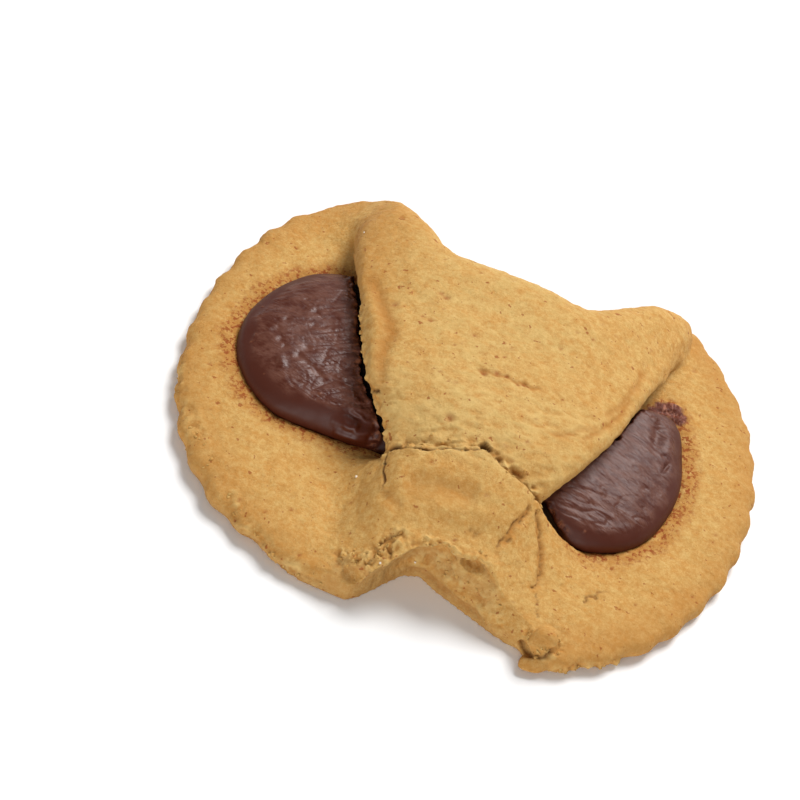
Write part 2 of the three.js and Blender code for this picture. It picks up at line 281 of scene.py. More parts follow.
def cut_finer(piece, lines, reach):
    """Cuts the squares within reach of the lines in four."""
    surface = surface_of(piece)
    points = points_of(piece)
    close = np.zeros(len(points), bool)
    for stations in lines:
        close[near_line(points, line_on(surface, stations), reach)[0]] = True
    bm = bmesh.new()
    bm.from_mesh(piece.data)
    bm.verts.ensure_lookup_table()
    faces = {face for i in np.flatnonzero(close) for face in bm.verts[i].link_faces}
    edges = list({edge for face in faces for edge in face.edges})
    bmesh.ops.subdivide_edges(bm, edges=edges, cuts=1, use_grid_fill=True, smooth=0.0)
    bm.to_mesh(piece.data)
    bm.free()
    print(piece.name, "now has", len(piece.data.polygons), "faces")


def flatten_underside(piece):
    """Joins the flat faces of the underside into one."""
    bm = bmesh.new()
    bm.from_mesh(piece.data)
    flat = [v for v in bm.verts if v.co.z < 0.02 * MM]
    for v in flat:
        v.co.z = 0
    below = [f for f in bm.faces if all(v.co.z == 0 for v in f.verts)]
    inner = [e for f in below for e in f.edges
             if all(g.calc_center_median().z == 0 for g in e.link_faces)]
    bmesh.ops.dissolve_edges(bm, edges=list(set(inner)), use_verts=True)
    bm.to_mesh(piece.data)
    bm.free()
    print("with a plain underside", piece.name, "has", len(piece.data.polygons), "faces")


cut_finer(dough, FINE_LINES, FINE_REACH)
flatten_underside(dough)

# %% [markdown]
# ## The fold's corners and slanting edges
# At both ends of the wide fold the dough is one bent sheet, so the flap grows out of the round
# there without an edge. The solid has an edge all the way, and rubbing it smooth is what a
# thumb would do. The wide flap's slanting borders are rubbed too, since the even squares leave
# small steps on them, and a few light strokes over the whole top soften what is left of facets.

# %% Rub smooth
FAR_LEFT_CORNER = (-25.6, 23.4, 6)
FAR_RIGHT_CORNER = (24, 22, 5)
# The whole top in three round places, that leave the short fold's torn front as it is
BROAD_PLACES = [((0, 11, 0), 35.5), ((-29, -4, 0), 22), ((33, -4, 0), 24)]


def rub_points(piece, is_close, strokes):
    bm = bmesh.new()
    bm.from_mesh(piece.data)
    close = [v for v in bm.verts if is_close(v)]
    for _ in range(strokes):
        bmesh.ops.smooth_vert(bm, verts=close, factor=0.5, use_axis_x=True, use_axis_y=True,
                              use_axis_z=True)
    bm.to_mesh(piece.data)
    bm.free()
    print("rubbed", len(close), "points", strokes, "times")


def rub(piece, middle, reach, strokes):
    """Rubs a round place smooth, but not the flat underside."""
    place = Vector(middle) * MM
    rub_points(piece, lambda v: v.co.z > 0.3 * MM and (v.co - place).length < reach * MM, strokes)


def rub_along(piece, stations, reach, strokes):
    line = line_on(surface_of(piece), stations)
    close = set(near_line(points_of(piece), line, reach)[0].tolist())
    rub_points(piece, lambda v: v.index in close, strokes)


rub_along(dough, TORN_BORDER, reach=2.6, strokes=26)
rub_along(dough, RIGHT_FLAP_EDGE, reach=1.2, strokes=16)
rub(dough, FAR_LEFT_CORNER, reach=6, strokes=400)
rub(dough, FAR_RIGHT_CORNER, reach=5, strokes=40)
for middle, reach in BROAD_PLACES:
    rub(dough, middle, reach, strokes=10)

# %% [markdown]
# ## The baked dough's broad forms
# Dough is never quite even: fingers press it, and it puffs up and sinks as it bakes. These broad
# bumps come first, since all finer ones ride on them. Each layer of random bumps has its own
# size, and none of them touches the underside, which lay flat on the baking sheet.

# %% Broad bumps
skin = points_of(dough)
outward = outward_of(dough)
off_sheet = rise(skin[:, 2], 0.2, 1.6)

skin += outward * (off_sheet * (
    0.42 * bumps(skin, 13, 3.1) + 0.26 * bumps(skin, 5.5, 7.7) + 0.12 * bumps(skin, 2.6, 11.3)
))[:, None]


def look_again():
    """The dough's surface as it is now, so that the next lines lie right on it."""
    set_points(dough, skin)
    return surface_of(dough)


dough_surface = look_again()

# %% What the paint will need to know about each point, from 0 to 1
LAYERS = ("crack", "toasted_and_shaded", "stained", "rusty", "crumbly", "pale", "smeared", "shaded")
paint = {layer: np.zeros(len(skin)) for layer in LAYERS}


def add_paint(layer, numbers, amount):
    """Paints the points with those numbers, where they have less paint yet."""
    paint[layer][numbers] = np.maximum(paint[layer][numbers], amount)


# %% Soft valleys and ridges
# A pressed valley's toast darkens it: partly real browning, partly painted shade in the hollow
def press_line(stations, width, depth, ragged=0.25, seed=0.0, fade=(0.15, 0.85), toast_and_shade=0.0):
    """Presses a soft valley into the dough, or raises a ridge if the depth is negative."""
    line = line_on(dough_surface, stations, ragged, seed)
    near, distance, place = near_line(skin, line, width * 2.4)
    ends = rise(place, 0, fade[0]) * (1 - rise(place, fade[1], 1))
    push = ends * np.exp(-((distance / width) ** 2))
    skin[near] -= outward[near] * (depth * push)[:, None]
    add_paint("toasted_and_shaded", near, toast_and_shade * push)


# LEFT_VALLEY's toast is painted shade; on the other lines it is partly reddish browning, partly painted shade
press_line(LEFT_VALLEY, width=1.3, depth=0.3, toast_and_shade=0.3)
press_line(LEFT_RIDGE, width=1.0, depth=0.34, ragged=0.9, toast_and_shade=1)
press_line([(x - 1.5, y - 0.4, z) for x, y, z in LEFT_RIDGE], width=1.0, depth=-0.3, ragged=0.7)
press_line(ARC_NEAR, width=0.4, depth=0.34, ragged=0.4, toast_and_shade=1)
press_line(ARC_FAR, width=0.42, depth=0.32, ragged=0.4, seed=4, toast_and_shade=1)
press_line(ARC_LONG, width=0.5, depth=0.24, ragged=0.4, seed=9, toast_and_shade=0.8)
press_line(RIGHT_BORDER, width=0.55, depth=0.5, fade=(0.02, 0.7), toast_and_shade=0.7)
press_line(RIGHT_CREASE, width=0.5, depth=0.45, fade=(0.02, 0.7), toast_and_shade=0.8)
press_line(SPECK_ROW, width=0.3, depth=0.2, ragged=0.6, toast_and_shade=0.9)

# %% The short fold's front
press_line(LIP, width=0.7, depth=-0.3, ragged=0.5, fade=(0.1, 0.9))
press_line(FRINGE, width=0.4, depth=0.4, ragged=0.5, toast_and_shade=0.9)
press_line(FOOT_LAYER, width=0.4, depth=0.5, ragged=0.4, toast_and_shade=0.8)


def lump(place, radius, height, dark=0.0):
    """Raises a round lump, or presses a dent if the height is negative. Its middle may be painted dark, as
    painted shade.
    """
    distance = np.linalg.norm(skin - nearest_on(dough_surface, place), axis=1)
    near = np.flatnonzero(distance < 2.5 * radius)
    push = np.exp(-((distance[near] / radius) ** 4))
    skin[near] += outward[near] * (height * push)[:, None]
    add_paint("crack", near, dark * push)


press_line(WALL_FOLD_LEFT, width=0.4, depth=0.4, toast_and_shade=0.5)
press_line(WALL_FOLD_RIGHT, width=0.4, depth=0.45, toast_and_shade=0.5)
lump(KNOB_TOP, radius=1, height=0.3)
lump(KNOB_SIDE, radius=0.8, height=0.35)
lump(SEAM_HOLE_MIDDLE, radius=0.5, height=-1.4, dark=1)
for place in FOLD_DENTS:
    lump(place, radius=0.35, height=-0.3, dark=0.15)
# The toast in this valley and at the crack's end is painted shade
press_line(SHORT_FOLD_VALLEY, width=1.7, depth=0.6, toast_and_shade=0.45)
press_line(SHORT_FOLD_RIDGE, width=1.3, depth=-0.35)
press_line(CRACK_END, width=0.9, depth=0.4, toast_and_shade=0.4)

# %% [markdown]
# ## Fine wrinkles near the seam
# Where the flap was pressed down, its skin gathered into short wrinkles that run along the seam.
# Random bumps give wrinkles when they are stretched one way, and a mask keeps them to the part
# of the flap where the picture shows them.

# %% Wrinkles
WRINKLE_TURN = math.radians(14)
across = turned(skin, WRINKLE_TURN, 1, 1)[:, 1]
on_top = rise(outward[:, 2], 0.3, 0.8) * rise(skin[:, 2], 8.5, 11)
wrinkled = on_top * rise(-across, 2, 9) * (1 - rise(-across, 17.2, 18.6))
wrinkled *= rise(bumps(skin, 3.4, 23.5), -0.6, 0.3)
ridges = 1 - 2 * np.abs(bumps(turned(skin, WRINKLE_TURN, 2.6, 0.75, 3), 1, 21.5))
skin += outward * (0.22 * wrinkled * (ridges - 0.6))[:, None]
# The wrinkles' troughs are painted darker, as painted shade
add_paint("toasted_and_shaded", slice(None), 0.25 * wrinkled * rise(-ridges, -0.5, 0.2))
add_paint("crumbly", slice(None), 0.6 * wrinkled * rise(ridges, 0.3, 0.8))
dough_surface = look_again()

# %% [markdown]
# ## Torn edges
# Shortcrust tears into crumbs rather than into threads. Random bumps of two sizes are added
# together along each torn edge, and the points are also shaken sideways, which undercuts some
# crumbs. The pale inside of the dough shows on the crumbs, and their gaps are painted darker, as
# painted shade.


# %% Torn edges
def tear(stations, reach, height, seed, only_behind=False):
    """Roughens the dough along a line into crumbs, here more and there less."""
    line = line_on(dough_surface, stations)
    near, distance, _ = near_line(skin, line, reach)
    torn = skin[near]
    share = rise(-distance, -reach, -0.3 * reach)
    share *= np.clip(0.8 + 1.1 * bumps(torn, 2.3, seed), 0, 1)
    if only_behind:
        behind = torn[:, 1] - np.interp(torn[:, 0], line[:, 0], line[:, 1])
        share *= rise(behind, -0.2, 0.3)
    crumbs = bumps(torn, 1.3, seed + 1) + 0.8 * bumps(torn, 0.62, seed + 2)
    skin[near] += outward[near] * (height * share * crumbs)[:, None]
    skin[near] += shakes(torn, 0.9) * (0.35 * height * share)[:, None]
    add_paint("crumbly", near, share * rise(crumbs, -0.1, 0.6))
    # The gaps between crumbs are painted darker, as painted shade
    add_paint("toasted_and_shaded", near, 0.8 * share * rise(-crumbs, -0.1, 0.6))


tear(SEAM, reach=2.6, height=0.5, seed=41, only_behind=True)
tear(TORN_BORDER, reach=1.9, height=0.5, seed=44)
tear(LIP, reach=1.2, height=0.6, seed=48)
tear(FRINGE, reach=1.6, height=0.45, seed=50)
tear(HOLLOW_RIM, reach=0.9, height=0.7, seed=53)
tear(KNOB_RIM, reach=1.7, height=0.5, seed=56)
tear(FRONT_WALL, reach=2.8, height=0.42, seed=59)
tear(CRUMBLY_RIM, reach=1.8, height=0.5, seed=62)
tear(CRUMBLY_FOOT, reach=1.3, height=0.6, seed=65)
dough_surface = look_again()

# %% [markdown]
# ## Cracks
# A crack is a narrow groove with torn banks. The groove's depth wanders, so that a crack opens
# and closes along its way, and the banks stand up a little. The groove is painted dark, as
# painted shade.


# %% Cracks
def crack(stations, width, depth, ragged=0.35, seed=0.0, fade=(0.03, 0.8), bank=0.0, dark=1.0):
    """Opens a crack along a line. Its banks rise by the bank, and dark says how dark its groove is painted,
    as painted shade.
    """
    line = line_on(dough_surface, stations, ragged, seed)
    line += shakes(line, 0.45) * 0.18
    near, distance, place = near_line(skin, line, 2.5)
    ends = rise(place, 0, fade[0]) * (1 - rise(place, fade[1], 1))
    opening = ends * (0.85 + 0.45 * bumps(skin[near], 1.4, seed + 31))
    groove = np.exp(-((distance / width) ** 2))
    torn = np.exp(-(((distance - 2.3 * width) / (1.2 * width)) ** 2))
    push = opening * (bank * torn - depth * groove)
    skin[near] += outward[near] * push[:, None]
    core = np.clip(1.5 * opening, 0, 1) * groove
    add_paint("crack", near, dark * core)
    add_paint("toasted_and_shaded", near, 0.8 * (1 - dark) * core)


crack(SEAM_GAP, width=0.32, depth=1.1, ragged=0.5, fade=(0.01, 0.95), bank=0.12)
crack(SEAM_THIN, width=0.2, depth=0.5, ragged=0.4, seed=1, fade=(0.05, 0.97), dark=0.6)
crack(SEAM[6:], width=0.3, depth=0.6, ragged=0.9, seed=12, fade=(0.02, 0.97), dark=0.3)
crack(SEAM_HOLE, width=0.34, depth=0.5, fade=(0.1, 0.9))
crack(LEFT_CRACK, width=0.18, depth=0.5, ragged=0.9, seed=2, fade=(0.03, 0.6))
crack(RIGHT_CREASE, width=0.18, depth=0.4, ragged=0.6, seed=3, fade=(0.02, 0.9), dark=0.45)
crack(RIGHT_BORDER, width=0.15, depth=0.3, seed=5, fade=(0.02, 0.9), dark=0.3)
crack(BORDER_TAIL, width=0.14, depth=0.25, seed=7, dark=0.4)
crack(RED_CRACK, width=0.2, depth=0.5, seed=6, dark=0.5)
crack(TORN_HOOK, width=0.22, depth=0.7, seed=8, fade=(0.02, 0.7))
crack(UNDER_LIP_LEFT, width=0.3, depth=0.5, seed=14, fade=(0.1, 0.9), dark=0.35)
crack(UNDER_LIP_RIGHT, width=0.3, depth=0.5, seed=16, fade=(0.1, 0.9), dark=0.35)
crack(FRINGE_CRACK, width=0.2, depth=0.5, seed=18, dark=0.4)
crack(FRINGE_CRACK_NEAR, width=0.2, depth=0.45, seed=19, dark=0.4)
crack(KNOB_GAP, width=0.3, depth=0.6, seed=20, fade=(0.02, 0.9), dark=0.45)
crack(LOBE_CRACK, width=0.17, depth=0.3, ragged=1.1, seed=22, dark=0.45)

# %% [markdown]
# ## Cream on the dough
# Beside the right opening a little cream was dragged over the round and dried in thin strands.
# It is too thin for a piece of its own, so the dough is raised there and painted as cream.

# %% Cream smeared on the dough
line = line_on(dough_surface, SMEAR)
near, distance, _ = near_line(skin, line, 2.4)
ragged_distance = distance + 0.6 * bumps(skin[near], 1.1, 61)
smeared = 1 - rise(ragged_distance, 1.1, 1.6)
streaks = bumps(turned(skin[near], WRINKLE_TURN, 1.6, 0.6, 1), 1, 63)
skin[near, 2] += smeared * (0.15 + 0.35 * streaks)
add_paint("smeared", near, smeared)
add_paint("stained", near, 1 - rise(ragged_distance, 1.5, 2.3))

# %% [markdown]
# ## Pits and grain
# Small air bubbles burst at the surface and leave pits with a toasted edge. Flour and sugar give
# the whole skin a fine grain. The pits that show best are listed one by one, and small ones are
# strewn between them.

# %% Pits
dough_surface = look_again()
dice = random.Random(7)
PITS = [(-10.3, 6.9, 14.8, 0.3), (-9.5, 6.5, 14.9, 0.45), (-15.3, 2.7, 13.7, 0.4),
        (-11.2, 1.6, 14.5, 0.25), (-10.1, 1.3, 14.7, 0.35), (-1.1, -4, 15.2, 0.5),
        (0.5, -3.2, 15.2, 0.4), (1.8, -3.1, 15.2, 0.3), (3.5, -3.4, 15.1, 0.3),
        (4.3, -2.8, 15.1, 0.35), (-2.8, -13.1, 14.1, 0.5), (-4.1, 1.6, 15.1, 0.3),
        (-4.5, -31.9, 7, 0.2), (7.5, -11.8, 14.3, 0.25)]
pits = [(nearest_on(dough_surface, pit[:3]), pit[3]) for pit in PITS]
for _ in range(90):
    turn = dice.uniform(0, 2 * math.pi)
    far = 38 * math.sqrt(dice.random())
    radius = dice.uniform(0.1, 0.26)
    middle = highest_on(dough_surface, far * math.cos(turn), far * math.sin(turn))
    if middle is not None:
        pits.append((middle, radius))

for middle, radius in pits:
    distance = np.linalg.norm(skin - middle, axis=1)
    near = np.flatnonzero(distance < 4 * radius)
    hollow = np.exp(-((distance[near] / radius) ** 2))
    skin[near] -= outward[near] * (0.7 * radius * hollow)[:, None]
    add_paint("rusty", near, 0.75 * hollow)

# %% Grain
skin += outward * (off_sheet * (
    0.11 * bumps(skin, 1.4, 51) + 0.1 * bumps(skin, 0.8, 61)
))[:, None]
skin[:, 2] = np.maximum(skin[:, 2], 0)
set_points(dough, skin)

# %% [markdown]
# ## Toast, stains, and painted highlight and shade
# Thin rims and high folds brown first. Fat from the cream has soaked into the dough round the
# pools and left a reddish ring of specks. The material can't know this, so it is painted on the
# points here and read there.

# %% Toasted rims, stained rings, a painted highlight and painted shade
cream_surface = surface_of(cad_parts["hazelnut_cream"])
from_cream = np.array([cream_surface.find_nearest(p)[3] for p in (skin * MM).tolist()]) / MM
flat_around = rise(outward[:, 2], 0.5, 0.9) * (1 - rise(skin[:, 2], 5, 7))
ring = from_cream + 0.9 * bumps(skin, 2.2, 81)
add_paint("stained", slice(None), flat_around * (1 - rise(ring, 0.9, 3.6)))
from_middle = np.hypot(skin[:, 0], skin[:, 1])
add_paint("toasted_and_shaded", slice(None), 0.55 * rise(from_middle, 33, 39.5) * (1 - rise(skin[:, 2], 5, 8)))
add_paint("toasted_and_shaded", slice(None), 0.6 * rise(-skin[:, 0], 12, 26) * rise(skin[:, 2], 6, 9))
# Painted highlight: the wide flap's top is painted paler, straw instead of golden
top_of_flap = rise(skin[:, 2], 8, 12) * rise(skin[:, 1], -20, -16) * rise(skin[:, 0], -20, -10)
add_paint("pale", slice(None), top_of_flap * (1 - 0.8 * rise(skin[:, 0], 4, 14)))
# Painted shade: the short fold's front wall and the hollow at its foot are painted greyish brown
front_wall = rise(-outward[:, 2], -0.45, -0.1) * rise(-skin[:, 1], 24, 27)
front_wall *= 1 - rise(skin[:, 0], 13, 18)
add_paint("shaded", slice(None), front_wall)
in_hollow = 1 - rise(np.linalg.norm(skin - np.array(FRONT_HOLLOW), axis=1), 1, 2.2)
add_paint("shaded", slice(None), in_hollow)



def keep_paint(piece, layers):
    for layer, amount in layers.items():
        values = piece.data.attributes.new(layer, "FLOAT", "POINT")
        values.data.foreach_set("value", amount)
        print(layer, "is on", int((amount > 0.1).sum()), "points")


keep_paint(dough, paint)

# %% [markdown]
# ## The dough's material
# Baked shortcrust is matt and golden tan. Its colour wanders between straw and orange brown in
# blotches of a few millimetres and in a fine mottle, and small toasted specks lie on it. All of
# it comes from noise on Object coordinates, so the pattern is part of the solid and has no seam.


# %% Material helpers
def new_material(name):
    material = bpy.data.materials.new(name)
    material.use_nodes = True
    return material, material.node_tree, material.node_tree.nodes["Principled BSDF"]


def link(tree, source, output, target, entry):
    tree.links.new(source.outputs[output], target.inputs[entry])


def noise_of(tree, size, detail=3.0, roughness=0.55, stretch=(1, 1, 1), turn=0.0):
    """A noise texture whose patches are about size mm wide, and longer along a turned axis."""
    place = tree.nodes.new("ShaderNodeTexCoord")
    axes = tree.nodes.new("ShaderNodeMapping")
    axes.vector_type = "TEXTURE"
    axes.inputs["Scale"].default_value = stretch
    axes.inputs["Rotation"].default_value = (0, 0, turn)
    pattern = tree.nodes.new("ShaderNodeTexNoise")
    pattern.inputs["Scale"].default_value = 1 / (size * MM)
    pattern.inputs["Detail"].default_value = detail
    pattern.inputs["Roughness"].default_value = roughness
    link(tree, place, "Object", axes, "Vector")
    link(tree, axes, "Vector", pattern, "Vector")
    return pattern


def ramp_of(tree, source, output, low, high):
    """Stretches a pattern so that low becomes 0 and high becomes 1."""
    ramp = tree.nodes.new("ShaderNodeMapRange")
    ramp.interpolation_type = "SMOOTHSTEP"
    ramp.inputs["From Min"].default_value = low
    ramp.inputs["From Max"].default_value = high
    link(tree, source, output, ramp, "Value")
    return ramp


def times(tree, a, a_out, b, b_out=None):
    """Two values multiplied. b may be a number."""
    product = tree.nodes.new("ShaderNodeMath")
    product.operation = "MULTIPLY"
    link(tree, a, a_out, product, 0)
    if b_out is None:
        product.inputs[1].default_value = b
    else:
        link(tree, b, b_out, product, 1)
    return product


def painted(tree, layer):
    """Reads one layer of the paint that was laid on the points."""
    reader = tree.nodes.new("ShaderNodeAttribute")
    reader.attribute_name = layer
    return reader


def tint(tree, below, share, share_out, colour):
    """Lays a colour over what is below it, as thick as the share says. Below may be a colour."""
    mix = tree.nodes.new("ShaderNodeMix")
    mix.data_type = "RGBA"
    link(tree, share, share_out, mix, "Factor")
    if isinstance(below, tuple):
        mix.inputs[6].default_value = (*below, 1)
    else:
        tree.links.new(below.outputs[2], mix.inputs[6])
    mix.inputs[7].default_value = (*colour, 1)
    return mix


# %% The dough's colours
STRAW = (0.58, 0.365, 0.12)
GOLDEN = (0.55, 0.298, 0.081)
ORANGE = (0.54, 0.238, 0.046)
ORANGE_BROWN = (0.43, 0.175, 0.032)
RUST = (0.29, 0.062, 0.012)
CRUMB_YELLOW = (0.72, 0.5, 0.19)
PAINTED_SHADE_BROWN = (0.34, 0.205, 0.085)
CRACK_SHADE_BROWN = (0.07, 0.022, 0.009)
SMEAR_BROWN = (0.14, 0.034, 0.017)
SMEAR_PINK = (0.36, 0.14, 0.085)

baked, tree, shader = new_material("baked_shortcrust")
shader.inputs["Specular IOR Level"].default_value = 0.16

# The wide flap's top is painted straw, as a painted highlight
colour = tint(tree, GOLDEN, painted(tree, "pale"), "Fac", STRAW)
blotch = ramp_of(tree, noise_of(tree, 6, 4, 0.6), "Fac", 0.42, 0.68)
colour = tint(tree, colour, times(tree, blotch, "Result", 0.45), "Value", ORANGE)
mottle = noise_of(tree, 1.8, 5, 0.75, stretch=(1.5, 1, 1), turn=WRINKLE_TURN)
mottle = ramp_of(tree, mottle, "Fac", 0.4, 0.7)
colour = tint(tree, colour, times(tree, mottle, "Result", 0.7), "Value", ORANGE)
floury = ramp_of(tree, noise_of(tree, 0.9, 7, 0.9), "Fac", 0.4, 0.66)
colour = tint(tree, colour, times(tree, floury, "Result", 0.68), "Value", CRUMB_YELLOW)
baked_grain = ramp_of(tree, noise_of(tree, 1.3, 7, 0.85), "Fac", 0.48, 0.7)
colour = tint(tree, colour, times(tree, baked_grain, "Result", 0.6), "Value", ORANGE_BROWN)
# Toast, and painted shade in valleys, troughs, grooves and the gaps between crumbs
colour = tint(tree, colour, times(tree, painted(tree, "toasted_and_shaded"), "Fac", 0.75), "Value", ORANGE_BROWN)
colour = tint(tree, colour, times(tree, painted(tree, "crumbly"), "Fac", 0.6), "Value", CRUMB_YELLOW)
# Painted shade on the short fold's front wall and in its hollow
colour = tint(tree, colour, times(tree, painted(tree, "shaded"), "Fac", 0.25), "Value", PAINTED_SHADE_BROWN)

# %% Specks, stains and cracks
speck = ramp_of(tree, noise_of(tree, 0.95, 2, 0.5), "Fac", 0.675, 0.72)
colour = tint(tree, colour, times(tree, speck, "Result", 0.7), "Value", RUST)
halo = ramp_of(tree, noise_of(tree, 1.6, 4, 0.7), "Fac", 0.3, 0.55)
stain = times(tree, painted(tree, "stained"), "Fac", halo, "Result")
colour = tint(tree, colour, times(tree, stain, "Value", 0.7), "Value", ORANGE_BROWN)
soaked = ramp_of(tree, noise_of(tree, 0.7, 4, 0.7), "Fac", 0.5, 0.58)
soaked = times(tree, painted(tree, "stained"), "Fac", soaked, "Result")
colour = tint(tree, colour, times(tree, soaked, "Value", 0.95), "Value", RUST)
colour = tint(tree, colour, painted(tree, "rusty"), "Fac", RUST)
colour = tint(tree, colour, painted(tree, "smeared"), "Fac", SMEAR_BROWN)
strand = noise_of(tree, 0.5, 2, 0.5, stretch=(0.8, 2.4, 1), turn=WRINKLE_TURN)
strand = ramp_of(tree, strand, "Fac", 0.52, 0.66)
strand = times(tree, painted(tree, "smeared"), "Fac", strand, "Result")
colour = tint(tree, colour, strand, "Value", SMEAR_PINK)
# Painted shade in the cracks, the seam's hole and the dents
colour = tint(tree, colour, painted(tree, "crack"), "Fac", CRACK_SHADE_BROWN)
tree.links.new(colour.outputs[2], shader.inputs["Base Color"])

gloss = tree.nodes.new("ShaderNodeMapRange")
gloss.inputs["To Min"].default_value = 0.8
gloss.inputs["To Max"].default_value = 0.35
link(tree, painted(tree, "smeared"), "Fac", gloss, "Value")
link(tree, gloss, "Result", shader, "Roughness")

# %% The dough's fine grain
grain = noise_of(tree, 0.5, 4, 0.7)
bump = tree.nodes.new("ShaderNodeBump")
bump.inputs["Strength"].default_value = 1
bump.inputs["Distance"].default_value = 0.2 * MM
link(tree, grain, "Fac", bump, "Height")
link(tree, bump, "Normal", shader, "Normal")

dough.data.materials.clear()
dough.data.materials.append(baked)
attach(dough, "root")
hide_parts("biscuit_dough")

# %% [markdown]
# ## The cream
# The cream was poured thick and set in the oven, with a smooth skin at its margin. Under the
# flaps it was dragged as the dough moved, which left fine stretch marks, small pits and a few
# folds. It starts like the dough, from an even copy of its solid.

# %% The cream's broad form
cream = fine_copy("hazelnut_cream", "chocolate_cream", voxel=0.3, smoothing=10)
LEFT_POOL = [(-26, 9, 6.5), (-27, 0, 7), (-23, -6, 7), (-13, -11, 7)]
RIGHT_POOL = [(24.5, 10, 5.5), (24, 0, 6.5), (20, -8, 7), (14, -12, 6.5)]
cut_finer(cream, [LEFT_POOL, RIGHT_POOL], 5.6)
pool = points_of(cream)
cream_out = outward_of(cream)
top = rise(cream_out[:, 2], 0.1, 0.7)
pool += cream_out * 0.36
pool += cream_out * (top * (0.34 * bumps(pool, 7, 2.2) + 0.14 * bumps(pool, 3, 5.8)))[:, None]

# %% Stretch marks in the cream
STRETCH_RIGHT = math.radians(-16)
STRETCH_RIGHT_NEAR = math.radians(5)
STRETCH_LEFT = math.radians(31)


def creases(points, turn, length, width, seed):
    """Sharp narrow valleys, 1 deep, that run along the turned axis."""
    return np.exp(-((bumps(turned(points, turn, length, width), 1, seed) / 0.09) ** 2))


on_right = rise(pool[:, 0], 0, 4)
near_side = rise(-pool[:, 1], 5, 9)
wobble = 0.1 * bumps(pool, 2.5, 3.3)
# Where the cream's top faces up; there it was dragged, and there it also gets painted sheen
dragged = rise(cream_out[:, 2] + wobble, 0.8, 0.93)
marks_right = (1 - near_side) * bumps(turned(pool, STRETCH_RIGHT, 2.4, 0.5), 1, 8.1)
marks_right += near_side * bumps(turned(pool, STRETCH_RIGHT_NEAR, 3.5, 0.6), 1, 8.7)
marks_right -= 0.9 * creases(pool, STRETCH_RIGHT_NEAR, 3.4, 1.5, 9.9) * near_side
marks_left = 0.35 * bumps(turned(pool, STRETCH_LEFT, 2.2, 0.5), 1, 9.4)
marks_left -= 0.7 * creases(pool, STRETCH_LEFT, 5, 0.9, 4.2) * rise(pool[:, 0], -25, -20)
marks_left -= 0.3 * creases(pool, STRETCH_LEFT + math.pi / 2, 4, 2.2, 6.1) * rise(pool[:, 0], -27, -23)
marks = on_right * marks_right + (1 - on_right) * marks_left
pool += cream_out * (0.13 * dragged * marks)[:, None]

# %% Pits and folds in the cream
set_points(cream, pool)
cream_surface = surface_of(cream)
CREAM_PITS = [(-28, -3.9, 0.75), (-27, -5.2, 0.5), (-26.1, -6.2, 0.4), (-23.3, -5.3, 0.65),
              (-24.5, 1.6, 0.45), (-24, -6.8, 0.55), (-25.9, 1.7, 0.3), (-24, -1.2, 0.4), (-27.4, -1.4, 0.45),
              (-28.6, -1.9, 0.35), (-26.2, 3.4, 0.35), (-21.6, -0.6, 0.3), (-20.6, -5.8, 0.35),
              (24.8, 3.4, 0.4), (24, -3.9, 0.5), (19.2, -8.6, 0.3), (21.7, -1.8, 0.3)]
for x, y, radius in CREAM_PITS:
    middle = highest_on(cream_surface, x, y)
    near = np.flatnonzero(np.linalg.norm(pool - middle, axis=1) < 5 * radius)
    shaken = pool[near] - middle + 0.3 * radius * shakes(pool[near], 0.8)
    distance = np.linalg.norm(shaken, axis=1) / radius
    hollow = np.exp(-(distance ** 2))
    pool[near] -= cream_out[near] * (0.32 * radius * hollow)[:, None]


def cream_fold(stations, width, height, ragged=0.3, seed=0.0):
    """Raises a fold, or presses a crease if the height is negative."""
    line = line_on(cream_surface, stations, ragged, seed)
    near, distance, place = near_line(pool, line, 3 * width)
    push = height * np.sin(math.pi * place) * np.exp(-((distance / width) ** 2))
    pool[near] += cream_out[near] * push[:, None]


# The cream was squeezed into a row of folds at the left end's near side, above a drip
DRIP_MIDDLE = (-13.2, -13.7, 5.6)
FOLDS = 6
for i in range(FOLDS):
    middle = Vector((-18 + 0.95 * i, -8.2 - 0.84 * i, 8 - 0.2 * i))
    reach = Vector((1.5, -0.1, 0))
    cream_fold([middle - reach, middle, middle + reach], 0.3, 0.22, seed=i)

# Two bulges of the drip and the valley over them
DRIP_BULGE_HIGH = [(-16.8, -13.6, 5.8), (-13.6, -13.6, 5.8), (-10.4, -13.2, 5.7)]
DRIP_BULGE_LOW = [(-16.4, -14.1, 4.8), (-13.6, -14.1, 4.9), (-11.2, -13.8, 5)]
DRIP_VALLEY = [(-16.2, -12.7, 6.7), (-14.2, -12.4, 6.8), (-12.2, -12.2, 6.9)]
cream_fold(DRIP_BULGE_HIGH, 0.65, 0.6, ragged=0.6)
cream_fold(DRIP_BULGE_LOW, 0.6, 0.6, ragged=0.6)
cream_fold(DRIP_VALLEY, 0.4, -0.35)

# A long valley and a bulge at the left
LEFT_POOL_VALLEY = [(-24.6, -6.9, 7.4), (-21.7, -8.1, 7.5), (-18.5, -10.2, 7.6)]
LEFT_POOL_BULGE = [(-26.6, -7.6, 6.9), (-25.6, -8.8, 6.8), (-24.7, -9.9, 6.8)]
cream_fold(LEFT_POOL_VALLEY, 0.5, -0.28)
cream_fold(LEFT_POOL_BULGE, 0.5, 0.3)

